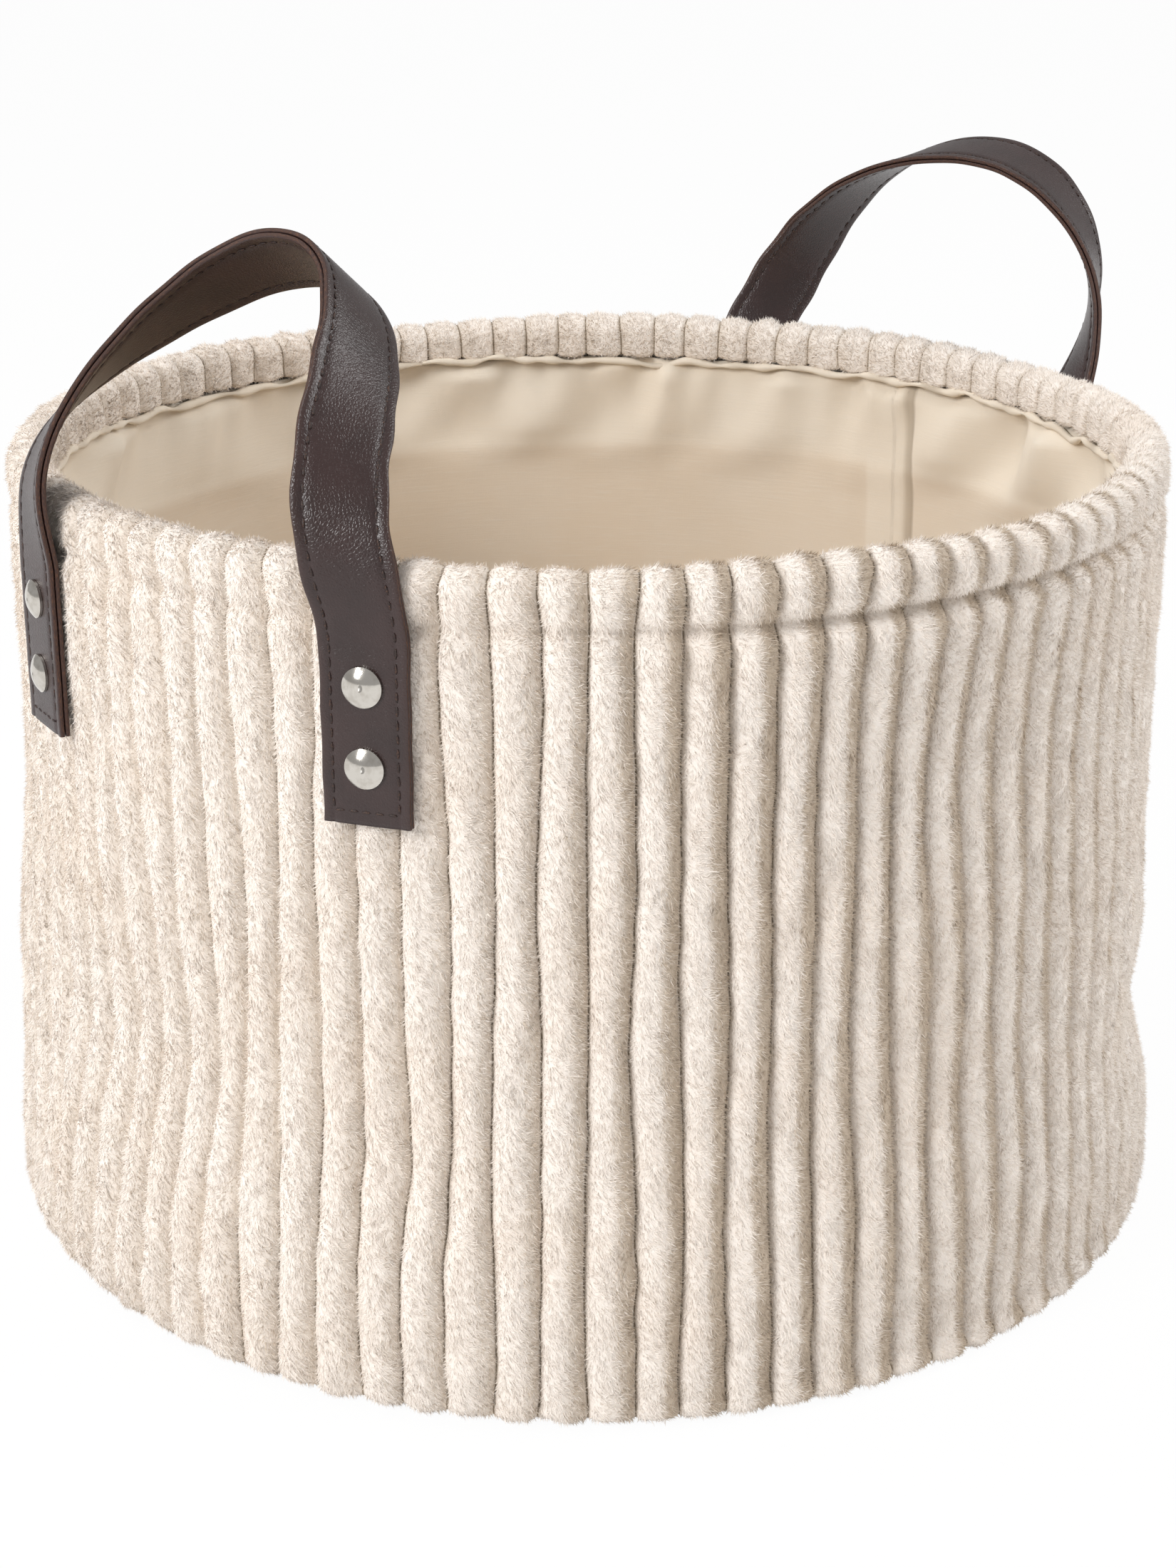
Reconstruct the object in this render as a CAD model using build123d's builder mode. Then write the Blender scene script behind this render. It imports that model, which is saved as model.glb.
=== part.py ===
# Round fabric storage bin: ribbed plush wall over a stiffener, cotton lining, two riveted strap handles
import os
from dataclasses import dataclass
from math import cos, radians, sin

from build123d import *

os.makedirs("parts", exist_ok=True)

# Overall sizes, measured on the pile crests
rim_radius = 145.0
base_flare = 7.0
wall_height = 200.0
flare_height = 110.0
corner_radius = 9.5
floor_clearance = 0.6
rim_thickness = 11.2
hem_depth = 12.0
seam_setback = 4.0

# Cloth layers, from the pile inwards
rib_count = 88
rib_width = 9.4
pile_height = 3.0
backing_thickness = 1.0
stiffener_thickness = 1.5
stiffener_top_drop = 37.0
stiffener_gap_angle = 1.2
lining_thickness = 0.8
lining_setback = 7.4
layer_clearance = 0.3
pile_clearance = 0.1

# Base
board_thickness = 2.7
board_edge_clearance = 1.0

# Rim hoop, a wire ring closed by a crimped ferrule
hoop_diameter = 2.0
hoop_gap_angle = 1.0
hoop_bearing = 90.0
ferrule_diameter = 2.7
ferrule_angle = 8.0
ferrule_bore_clearance = 0.1

# Strap handles
strap_width = 20.0
ply_thickness = 1.2
ply_clearance = 0.1
strap_end_drop = 57.0
strap_lift_drop = 20.0
strap_clearance = 0.3
hinge_lift = 10.0
knuckle_clearance = 0.4
tab_stations = 8
arch_stations = 26

# Rivets
rivet_diameter = 9.0
rivet_crown = 2.2
rivet_edge = 0.6
post_diameter = 2.8
post_clearance = 0.2
upper_rivet_drop = 26.0
lower_rivet_drop = 44.0
rivet_back_thickness = 1.2
post_engagement = 0.7
back_clearance = 0.1
head_clearance = 0.15


@dataclass
class Handle:
    name: str
    bearing_ribs: float  # ribs from +X round to the handle's middle
    end_ribs: float  # ribs from the middle to each riveted end
    rise: float  # arch apex above the point where the strap lifts off the wall
    bow: float  # outward swell of the legs
    lean: float  # outward offset of the apex
    roll: float  # turn of the strap about its length at the apex
    twist: float  # power of the roll along the leg
    fullness: float  # power of the arch's height
    knuckle: float  # radius about the fold line that turns with the arch

    @property
    def bearing(self):
        return self.bearing_ribs * rib_angle

    @property
    def half_span(self):
        return self.end_ribs * rib_angle


handles = [
    Handle("left", 44.5, 5.0, 72.2, 11.5, -38.6, 132.0, 2.0, 1.06, 9.0),
    Handle("right", 0.0, 5.5, 69.5, 8.0, 38.0, 101.0, 1.0, 0.75, 13.0),
]

# Places worked out from the sizes above
rib_angle = 360.0 / rib_count
rim_half = rim_thickness / 2
rim_centre = rim_radius - rim_half
rim_level = wall_height - rim_half
base_radius = rim_radius + base_flare
corner_centre = base_radius - corner_radius
seam_radius = corner_centre - seam_setback
corner_level = corner_radius + floor_clearance
hem_level = wall_height - hem_depth
backing_outer = pile_height + pile_clearance
backing_inner = backing_outer + backing_thickness
stiffener_outer = backing_inner + layer_clearance
stiffener_inner = stiffener_outer + stiffener_thickness
stiffener_top = wall_height - stiffener_top_drop
lining_inner = lining_setback + lining_thickness
lining_top = hem_level - layer_clearance
lining_floor = corner_level - (corner_radius - lining_setback)
cover_top = corner_level - (corner_radius - backing_inner)
board_bottom = cover_top + layer_clearance
board_radius = corner_centre + board_edge_clearance
strap_thickness = 2 * ply_thickness + ply_clearance
strap_centre = rim_radius + strap_clearance + strap_thickness / 2
lift_level = wall_height - strap_lift_drop
strap_end_level = wall_height - strap_end_drop
hinge_level = wall_height + hinge_lift


# Meridian lines in the XZ plane, each at a depth below the pile crests
def corner_line(inset):
    CenterArc((corner_centre, corner_level), corner_radius - inset, -90, 90)


def flare_line(inset):
    low = (base_radius - inset, corner_level)
    high = (rim_radius - inset, flare_height)
    Spline(low, high, tangents=[(0, 1), (0, 1)])


def wall_line(inset, top):
    Line((rim_radius - inset, flare_height), (rim_radius - inset, top))


def rim_line(inset):
    reach = rim_half - inset
    CenterArc((rim_centre, rim_level), reach, 0, 180)
    Line((rim_centre - reach, rim_level), (rim_centre - reach, hem_level))


# Strap handle: stations along the strap, each a plane whose x runs across and y points off its face
def arch_point(handle, angle):
    share = max(sin(angle), 0.0) ** handle.fullness
    swell = 16 * share**2 * (1 - share) ** 2
    along = strap_centre * sin(radians(handle.half_span)) * cos(angle)
    out = strap_centre * cos(radians(handle.half_span)) + handle.bow * swell + handle.lean * share**1.5
    return Vector(out, along, lift_level + handle.rise * share)


def arch_plane(handle, angle):
    step = 0.002
    ahead = arch_point(handle, min(angle + step, radians(180)))
    behind = arch_point(handle, max(angle - step, 0.0))
    tangent = (ahead - behind).normalized()
    outward = Vector(1, 0, 0) - tangent * tangent.X
    outward = outward.normalized()
    inward = outward.cross(tangent)
    gain = max(sin(angle), 0.0) ** handle.twist
    roll = radians(handle.half_span + (handle.roll - handle.half_span) * gain)
    across = inward * cos(roll) + outward * sin(roll)
    return Plane(arch_point(handle, angle), x_dir=across, z_dir=tangent)


def tab_plane(handle, side, level):
    turn = radians(side * handle.half_span)
    place = Vector(strap_centre * cos(turn), strap_centre * sin(turn), level)
    across = Vector(sin(turn), -cos(turn), 0) * side
    return Plane(place, x_dir=across, z_dir=(0, 0, side))


def strap_planes(handle):
    steps = [i / tab_stations for i in range(tab_stations)]
    levels = [strap_end_level + (lift_level - strap_end_level) * step for step in steps]
    rising = [tab_plane(handle, 1, level) for level in levels]
    arch = [arch_plane(handle, radians(180) * i / arch_stations) for i in range(1, arch_stations)]
    falling = [tab_plane(handle, -1, level) for level in reversed(levels)]
    lift = [tab_plane(handle, 1, lift_level)]
    land = [tab_plane(handle, -1, lift_level)]
    return rising + lift + arch + land + falling


def hinge_out(handle):
    low, high = 0.0, radians(90)
    for _ in range(50):
        middle = (low + high) / 2
        if arch_point(handle, middle).Z < hinge_level:
            low = middle
        else:
            high = middle
    return arch_point(handle, low).X


def rivet_plane(bearing, drop):
    turn = radians(bearing)
    radial = Vector(cos(turn), sin(turn), 0)
    place = radial * rim_radius + Vector(0, 0, wall_height - drop)
    return Plane(place, x_dir=(0, 0, 1), z_dir=radial)


def rivet_row(drop):
    return [rivet_plane(handle.bearing + side * handle.half_span, drop) for handle in handles for side in (1, -1)]


upper_rivets = rivet_row(upper_rivet_drop)
lower_rivets = rivet_row(lower_rivet_drop)
post_radius = post_diameter / 2
hole_radius = post_radius + post_clearance
hole_depth = 2 * lining_setback


def save(builder, name):
    builder.part.label = name
    export_step(builder.part, f"parts/{name}.step")


# Backing cloth of the plush wall, turned over at the rim
with BuildPart() as outer_wall:
    with BuildSketch(Plane.XZ):
        with BuildLine():
            for depth in (backing_outer, backing_inner):
                corner_line(depth)
                flare_line(depth)
                wall_line(depth, rim_level)
                rim_line(depth)
                bottom = corner_level - (corner_radius - depth)
                Line((corner_centre, bottom), (seam_radius, bottom))
            Line((seam_radius, corner_level - (corner_radius - backing_outer)), (seam_radius, cover_top))
            hem_outer = rim_centre - (rim_half - backing_inner)
            Line((hem_outer, hem_level), (rim_centre - (rim_half - backing_outer), hem_level))
        make_face()
    revolve(axis=Axis.Z)
    with Locations(*upper_rivets, *lower_rivets):
        Cylinder(hole_radius, hole_depth, mode=Mode.SUBTRACT)
save(outer_wall, "outer_wall")

# One pile rib: a round lobe running from the base seam, over the rim, to the hem inside
with BuildPart() as pile_rib:
    with BuildLine(Plane.XZ) as rib_path:
        corner_line(pile_height)
        flare_line(pile_height)
        wall_line(pile_height, rim_level)
        rim_line(pile_height)
    with BuildSketch(Plane((corner_centre, 0, corner_level - (corner_radius - pile_height)),
                           x_dir=(0, 1, 0), z_dir=(1, 0, 0))):
        with BuildLine():
            Line((-rib_width / 2, 0), (rib_width / 2, 0))
            ThreePointArc((rib_width / 2, 0), (0, -pile_height), (-rib_width / 2, 0))
        make_face()
    sweep()

# Pile ribs all round, with a rib crest under each strap end
with BuildPart() as plush_ribs:
    with PolarLocations(0, rib_count, start_angle=rib_angle / 2):
        add(pile_rib.part)
    with Locations(*upper_rivets, *lower_rivets):
        Cylinder(hole_radius, hole_depth, mode=Mode.SUBTRACT)
save(plush_ribs, "plush_ribs")

# Wall stiffener: a sheet rolled into a ring whose ends do not quite meet
with BuildPart() as wall_stiffener:
    with BuildSketch(Plane.XZ):
        with BuildLine():
            for depth in (stiffener_outer, stiffener_inner):
                flare_line(depth)
                wall_line(depth, stiffener_top)
            Line((base_radius - stiffener_outer, corner_level), (base_radius - stiffener_inner, corner_level))
            Line((rim_radius - stiffener_outer, stiffener_top), (rim_radius - stiffener_inner, stiffener_top))
        make_face()
    revolve(axis=Axis.Z, revolution_arc=360 - stiffener_gap_angle)
    with Locations(*lower_rivets):
        Cylinder(hole_radius, hole_depth, mode=Mode.SUBTRACT)
save(wall_stiffener, "wall_stiffener")

# Cotton lining of the wall
with BuildPart() as lining_wall:
    with BuildSketch(Plane.XZ):
        with BuildLine():
            for depth in (lining_setback, lining_inner):
                corner_line(depth)
                flare_line(depth)
                wall_line(depth, lining_top)
            Line((corner_centre, lining_floor), (corner_centre, lining_floor + lining_thickness))
            Line((rim_radius - lining_setback, lining_top), (rim_radius - lining_inner, lining_top))
        make_face()
    revolve(axis=Axis.Z)
save(lining_wall, "lining_wall")

# Cotton lining of the floor
with BuildPart() as lining_base:
    with BuildSketch(Plane.XY.offset(lining_floor)):
        Circle(corner_centre - layer_clearance)
    extrude(amount=lining_thickness)
save(lining_base, "lining_base")

# Board that keeps the floor flat
with BuildPart() as base_board:
    with BuildSketch(Plane.XY.offset(board_bottom)):
        Circle(board_radius)
    extrude(amount=board_thickness)
save(base_board, "base_board")

# Padded cloth panel under the floor, on which the bin stands
with BuildPart() as base_cover:
    with BuildSketch(Plane.XY):
        Circle(seam_radius - layer_clearance)
    extrude(amount=cover_top)
save(base_cover, "base_cover")

# Wire hoop inside the rim fold
with BuildPart() as rim_hoop:
    with BuildSketch(Plane.XZ.rotated((0, 0, hoop_bearing + hoop_gap_angle / 2))):
        with Locations((rim_centre, rim_level)):
            Circle(hoop_diameter / 2)
    revolve(axis=Axis.Z, revolution_arc=360 - hoop_gap_angle)
save(rim_hoop, "rim_hoop")

# Ferrule crimped over the hoop's two ends
with BuildPart() as hoop_ferrule:
    with BuildSketch(Plane.XZ.rotated((0, 0, hoop_bearing - ferrule_angle / 2))):
        with Locations((rim_centre, rim_level)):
            Circle(ferrule_diameter / 2)
            Circle(hoop_diameter / 2 + ferrule_bore_clearance / 2, mode=Mode.SUBTRACT)
    revolve(axis=Axis.Z, revolution_arc=ferrule_angle)
save(hoop_ferrule, "hoop_ferrule")


# Strap pieces: the arch turns about the hinge line above the rim, the two ends stay riveted to the wall
def strap_ply(handle, offset):
    with BuildPart() as ply:
        for plane in strap_planes(handle):
            with BuildSketch(plane):
                with Locations((0, offset)):
                    Rectangle(strap_width, ply_thickness)
        loft()
        for side in (1, -1):
            turn = side * handle.half_span
            with Locations(*[rivet_plane(turn, drop) for drop in (upper_rivet_drop, lower_rivet_drop)]):
                Cylinder(hole_radius, hole_depth, mode=Mode.SUBTRACT)
    return ply.part


def arch_zone(handle, radius):
    size = 4 * rim_radius
    with BuildPart() as zone:
        with Locations((0, 0, hinge_level + size / 2)):
            Box(size, size, size)
        with Locations(Plane((hinge_out(handle), 0, hinge_level), z_dir=(0, 1, 0))):
            Cylinder(radius, size)
    return zone.part


ply_offset = (ply_thickness + ply_clearance) / 2
for handle in handles:
    turned = Location((0, 0, 0), (0, 0, handle.bearing))
    moving = arch_zone(handle, handle.knuckle)
    cleared = arch_zone(handle, handle.knuckle + knuckle_clearance)
    for ply_name, offset in (("face", ply_offset), ("backing", -ply_offset)):
        strap = strap_ply(handle, offset)
        with BuildPart() as loop:
            with Locations(turned):
                add(strap)
                add(moving, mode=Mode.INTERSECT)
        save(loop, f"{handle.name}_loop_{ply_name}")
        with BuildPart() as ends:
            with Locations(turned):
                add(strap)
                add(cleared, mode=Mode.SUBTRACT)
        tabs = ends.part.solids().sort_by(Axis.Y)
        for tab_name, solid in (("front", tabs[0]), ("rear", tabs[-1])):
            with BuildPart() as tab:
                add(solid)
            save(tab, f"{handle.name}_{tab_name}_tab_{ply_name}")

# Rivets: domed caps with their posts, and the backs pressed on behind the cloth
rivet_seat = strap_clearance + strap_thickness + head_clearance


def rivet_cap(grip):
    head_radius = rivet_diameter / 2
    edge = rivet_seat + rivet_edge
    crown = rivet_seat + rivet_crown
    tip = -grip - post_engagement
    with BuildPart() as cap:
        with BuildSketch(Plane.XZ):
            with BuildLine():
                Polyline((0, crown), (0, tip), (post_radius, tip), (post_radius, rivet_seat),
                         (head_radius, rivet_seat), (head_radius, edge))
                TangentArc((0, crown), (head_radius, edge), tangent=(1, 0))
            make_face()
        revolve(axis=Axis.Z)
    return cap.part


def rivet_back(grip):
    seat = grip + back_clearance
    with BuildPart() as back:
        with Locations((0, 0, -seat - rivet_back_thickness / 2)):
            Cylinder(rivet_diameter / 2, rivet_back_thickness)
        depth = back_clearance + post_engagement
        with Locations((0, 0, -grip - depth / 2)):
            Cylinder(post_radius + back_clearance, depth, mode=Mode.SUBTRACT)
    return back.part


with BuildPart() as rivet_caps:
    with Locations(*upper_rivets):
        add(rivet_cap(backing_inner))
    with Locations(*lower_rivets):
        add(rivet_cap(stiffener_inner))
save(rivet_caps, "rivet_caps")

with BuildPart() as rivet_backs:
    with Locations(*upper_rivets):
        add(rivet_back(backing_inner))
    with Locations(*lower_rivets):
        add(rivet_back(stiffener_inner))
save(rivet_backs, "rivet_backs")

for handle in handles:
    print(handle.name, "hinge line", round(hinge_out(handle), 3), "from the axis, level", hinge_level,
          "bearing", round(handle.bearing, 4))
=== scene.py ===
import random
from math import ceil, cos, pi, radians, sin, sqrt

import bmesh
import bpy
import numpy as np
from mathutils import Matrix, Vector


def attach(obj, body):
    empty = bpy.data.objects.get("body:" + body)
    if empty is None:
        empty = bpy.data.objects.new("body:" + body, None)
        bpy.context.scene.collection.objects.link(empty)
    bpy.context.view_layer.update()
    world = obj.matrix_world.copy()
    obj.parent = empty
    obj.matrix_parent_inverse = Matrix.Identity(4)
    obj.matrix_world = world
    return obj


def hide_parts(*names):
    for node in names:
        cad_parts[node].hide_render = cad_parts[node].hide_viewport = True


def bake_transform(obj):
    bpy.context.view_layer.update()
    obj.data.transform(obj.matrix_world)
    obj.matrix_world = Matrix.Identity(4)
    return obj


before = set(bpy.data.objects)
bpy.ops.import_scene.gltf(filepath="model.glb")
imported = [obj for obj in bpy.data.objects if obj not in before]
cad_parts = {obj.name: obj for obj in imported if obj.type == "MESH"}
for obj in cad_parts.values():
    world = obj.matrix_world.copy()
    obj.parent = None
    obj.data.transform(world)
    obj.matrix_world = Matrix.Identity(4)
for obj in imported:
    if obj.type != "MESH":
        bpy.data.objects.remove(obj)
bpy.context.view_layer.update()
mm = 0.001
print("frame loaded with", len(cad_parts), "nodes")


# shader wiring: sums on wires add Math nodes, every other node comes from add()
class Wire:
    def __init__(self, tree, socket=None):
        self.tree = tree
        self.socket = socket

    def add(self, kind, settings=None, sockets=None, out=0):
        node = self.tree.nodes.new("ShaderNode" + kind)
        for name, value in (settings or {}).items():
            setattr(node, name, value)
        for name, value in (sockets or {}).items():
            if isinstance(value, Wire):
                self.tree.links.new(value.socket, node.inputs[name])
            else:
                node.inputs[name].default_value = value
        return Wire(self.tree, node.outputs[out])

    def math(self, operation, first, second):
        return self.add("Math", {"operation": operation}, {0: first, 1: second})

    def __add__(self, other):
        return self.math("ADD", self, other)

    def __mul__(self, other):
        return self.math("MULTIPLY", self, other)

    __radd__ = __add__
    __rmul__ = __mul__

    def step(self, low, high):  # 0 below low, 1 above high, smooth between
        return self.add("MapRange", {"interpolation_type": "SMOOTHSTEP"},
                        {"Value": self, "From Min": low, "From Max": high})

    def pick(self, first, second):  # colour mix with this wire as the factor
        return self.add("Mix", {"data_type": "RGBA"}, {0: self, 6: first, 7: second}, 2)

    def attribute(self, name):
        return self.add("Attribute", {"attribute_name": name}, out=2)

    def objectPlace(self):
        return self.add("TexCoord", out=3)

    def noise(self, vector, scale, detail=2.0, rough=0.5):
        sockets = {"Vector": vector, "Scale": scale, "Detail": detail, "Roughness": rough}
        return self.add("TexNoise", {}, sockets)

    def bump(self, height, distance, strength=1.0):
        return self.add("Bump", {}, {"Height": height, "Distance": distance, "Strength": strength})


def srgb(red, green, blue):
    parts = [x / 255 for x in (red, green, blue)]
    return tuple(x / 12.92 if x <= 0.04045 else ((x + 0.055) / 1.055) ** 2.4 for x in parts) + (1.0,)


def makeFinish(name, plain, wiring):
    material = bpy.data.materials.new(name)
    material.use_nodes = True
    shader = material.node_tree.nodes["Principled BSDF"]
    for socket, value in plain.items():
        shader.inputs[socket].default_value = value
    for socket, wire in wiring(Wire(material.node_tree)).items():
        material.node_tree.links.new(wire.socket, shader.inputs[socket])
    return material


# waves round the bin and along the cloth, summed into a smooth unevenness of about the given size
def waves(seed, count, turns, rises, size):
    dice = random.Random(seed)
    parts = [(dice.randint(*turns), dice.uniform(*rises) * dice.choice((-1, 1)), dice.uniform(0, 2 * pi))
             for _ in range(count)]

    def at(bearing, along):
        return size / sqrt(count / 2) * sum(np.sin(k * bearing + w * along + p) for k, w, p in parts)
    return at


def smoothStep(value, low, high):
    share = np.clip((value - low) / (high - low), 0, 1)
    return share * share * (3 - 2 * share)


def turnFrom(bearing, other):  # degrees from other to bearing, -180 to 180
    return (bearing - other + 180) % 360 - 180


binSizes = {"rimRadius": 0.145, "baseRadius": 0.152, "flareTop": 0.110, "cornerRadius": 0.0095,
            "floorGap": 0.0006, "rimHalf": 0.0056, "rimLevel": 0.1944,
            "tabBearings": (22.5, -22.5, 161.591, 202.5)}
cornerCentre = binSizes["baseRadius"] - binSizes["cornerRadius"]
cornerLevel = binSizes["cornerRadius"] + binSizes["floorGap"]
rimCentre = binSizes["rimRadius"] - binSizes["rimHalf"]

# how the soft wall has sunk and bulged: bearing, height mm, spread degrees, spread mm, outward mm
slumps = [(172, 74, 15, 22, -4.8), (143, 80, 22, 30, 3.2), (206, 66, 10, 15, -2.4), (204, 34, 13, 16, 1.5),
          (258, 145, 17, 30, -4.5), (256, 66, 22, 30, -2.0), (299, 50, 16, 17, -5.4), (264, 10, 26, 24, -2.6),
          (165, 10, 28, 26, 2.4), (284, 100, 12, 26, 1.5), (228, 120, 12, 34, 1.2),
          (60, 70, 24, 30, -5.0), (20, 60, 18, 30, 3.0), (100, 110, 22, 34, -4.0), (95, 40, 20, 24, 2.0),
          (330, 100, 18, 30, -3.0)]


def tabHold(bearing, level):  # 1 where a riveted strap end presses on the wall
    near = sum(1 - smoothStep(abs(turnFrom(bearing, b)), 4.6, 9.0) for b in binSizes["tabBearings"])
    return np.clip(near, 0, 1) * smoothStep(level, 0.122, 0.141)


def slump(bearing, level):
    moved = sum(depth * mm * np.exp(-(turnFrom(bearing, b) / wide) ** 2 - ((level / mm - high) / tall) ** 2)
                for b, high, wide, tall, depth in slumps)
    held = smoothStep(level, 0.0008, 0.009) * (1 - smoothStep(level, 0.172, 0.186))
    return moved * held * (1 - tabHold(bearing, level))


def crestRadius(level):
    share = smoothStep(level, cornerLevel, binSizes["flareTop"])
    return binSizes["baseRadius"] + (binSizes["rimRadius"] - binSizes["baseRadius"]) * share


# a grid rolled into a tube: columns run round, rows along, and pole rows shrink to one point
def tubeMesh(columns, rows, closed=True, poles=()):
    bm = bmesh.new()
    bmesh.ops.create_grid(bm, x_segments=columns, y_segments=rows, size=1.0)
    columnOf, rowOf = bm.verts.layers.int.new("column"), bm.verts.layers.int.new("row")
    spots = {}
    for vert in bm.verts:
        spot = round((vert.co.x + 1) / 2 * columns), round((vert.co.y + 1) / 2 * rows)
        vert[columnOf], vert[rowOf] = spot
        spots[spot] = vert
    welds = {}
    for row in range(rows + 1):
        doubles = range(1, columns + 1) if row in poles else [columns] if closed else []
        welds.update({spots[column, row]: spots[0, row] for column in doubles})
    bmesh.ops.weld_verts(bm, targetmap=welds)
    numbers = np.array([(v[columnOf], v[rowOf]) for v in bm.verts])
    return bm, numbers[:, 0], numbers[:, 1]


def latheMesh(points, steps, angle=360.0):  # a profile of (radius, height) taken round Z, bearings in degrees
    poles = [i for i in (0, len(points) - 1) if points[i][0] == 0]
    bm, columns, rows = tubeMesh(steps, len(points) - 1, angle == 360.0, poles)
    profile, bearing = np.array(points), columns * angle / steps
    putVerts(bm, profile[rows, 0], bearing, profile[rows, 1])
    return bm, bearing, rows


def putVerts(bm, radius, bearing, level):
    turn = np.radians(bearing)
    places = np.stack([radius * np.cos(turn), radius * np.sin(turn), level], 1)
    for vert, place in zip(bm.verts, places.tolist()):
        vert.co = place


def profileNormals(points):
    run = np.gradient(np.array(points), axis=0)
    run /= np.linalg.norm(run, axis=1)[:, None]
    return np.stack([run[:, 1], -run[:, 0]], 1)


def faceAway(bm, towards):  # turns the faces over where most of them look the wrong way
    bm.normal_update()
    if sum(face.normal.dot(towards(face.calc_center_median())) for face in bm.faces) < 0:
        bmesh.ops.reverse_faces(bm, faces=bm.faces)


def newPiece(name, bm, finishes, body):
    mesh = bpy.data.meshes.new(name)
    bm.to_mesh(mesh)
    bm.free()
    return hangPiece(name, mesh, finishes, body)


def hangPiece(name, mesh, finishes, body):
    piece = bpy.data.objects.new(name, mesh)
    bpy.context.scene.collection.objects.link(piece)
    for finish in finishes:
        mesh.materials.append(finish)
    mesh.shade_smooth()
    if body:
        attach(piece, body)
    return piece


def setFloats(mesh, name, values):
    layer = mesh.attributes.new(name, "FLOAT", "POINT")
    layer.data.foreach_set("value", np.asarray(values, np.float32))


def setUv(mesh, across, along):  # one unwrap from two values per vertex, each run out to 0..1
    corner = np.empty(len(mesh.loops), np.int32)
    mesh.loops.foreach_get("vertex_index", corner)
    layer = mesh.uv_layers.new(name="OFBake")
    flat = np.stack([np.asarray(across)[corner], np.asarray(along)[corner]], 1)
    start = np.empty(len(mesh.polygons), np.int32)
    mesh.polygons.foreach_get("loop_start", start)
    count = np.diff(np.append(start, len(corner)))
    high = np.repeat(np.maximum.reduceat(flat[:, 0], start), count)
    flat[(high - flat[:, 0]) > 0.5, 0] += 1.0  # faces that cross the seam
    layer.uv.foreach_set("vector", flat.astype(np.float32).ravel())


# plush wall: ribs of pile from the base seam, up the wall, over the rim and down to the hem inside
plushSet = {"ribs": 88, "columns": 8, "pile": 3.4 * mm, "corner": 4.5 * mm, "hemStitch": 0.1862,
            "pinch": 4.0 * mm, "collar": 0.176,
            "seam": [(0.1384, 0.0040), (0.1392, 0.0022), (0.1405, 0.0010), (0.1440, 0.0006)],
            "hem": [(0.0, 0.1925), (0.0, 0.1907), (0.0, 0.1891), (0.0006, 0.1879), (0.002, 0.1873)],
            "cream": srgb(248, 240, 232), "warm": srgb(243, 231, 219),
            # the groove colour is painted shade for the grooves and the hem crease
            # the last colour is painted shade for the right flank of each rib
            "groove": srgb(150, 135, 116), "shade": srgb(222, 209, 193), "ribShade": srgb(192, 174, 152)}


def plushWiring(w):
    place = w.objectPlace()
    groove, tone, ribShade = w.attribute("groove"), w.attribute("tone"), w.attribute("ribShade")
    patch = w.noise(place, 34.0, 3.0)
    clump = w.noise(place, 620.0, 3.0, 0.6)
    fine = w.noise(place, 2400.0, 2.0, 0.7)
    cloth = (patch.step(0.4, 0.75) * 0.5).pick(plushSet["cream"], plushSet["warm"])
    cloth = (clump.step(0.4, 0.75) * 0.1 + tone * 0.1).pick(cloth, plushSet["shade"])
    # painted shade on the right flank of each rib, with a ragged edge from the clump noise
    cloth = ((ribShade + ribShade * clump * 0.6).step(0.2, 1.05) * 0.85).pick(cloth, plushSet["ribShade"])
    # painted shade deepening towards each groove, then a dark line of painted shade in the groove itself
    cloth = (groove.step(0.35, 0.9) * 0.5).pick(cloth, plushSet["ribShade"])
    cloth = groove.step(0.8, 0.97).pick(cloth, plushSet["groove"])
    return {"Base Color": cloth, "Roughness": 0.84 + 0.14 * fine,
            "Normal": w.bump(clump * 0.6 + fine * 0.6, 0.0006, 0.7)}


plushSheen = {"Sheen Weight": 0.2, "Sheen Roughness": 0.4, "Specular IOR Level": 0.12}
plushFinish = makeFinish("plushPile", plushSheen, plushWiring)


def plushProfile():
    points = list(plushSet["seam"])
    corner, lowest = plushSet["corner"], plushSet["corner"] + binSizes["floorGap"]
    for i in range(9):
        turn = radians(-90 + 11.25 * i)
        points.append((binSizes["baseRadius"] - corner + corner * cos(turn), lowest + corner * sin(turn)))
    levels = list(np.linspace(lowest, plushSet["collar"], 74)[1:])
    levels += list(np.linspace(plushSet["collar"], binSizes["rimLevel"], 17)[1:])  # closer rows by the rim
    points += [(float(crestRadius(z)), float(z)) for z in levels]
    for i in range(1, 12):
        turn = radians(180 * i / 11)
        points.append((rimCentre + binSizes["rimHalf"] * cos(turn),
                       binSizes["rimLevel"] + binSizes["rimHalf"] * sin(turn)))
    inside = rimCentre - binSizes["rimHalf"]
    return points + [(inside + out, level) for out, level in plushSet["hem"]]


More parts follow.
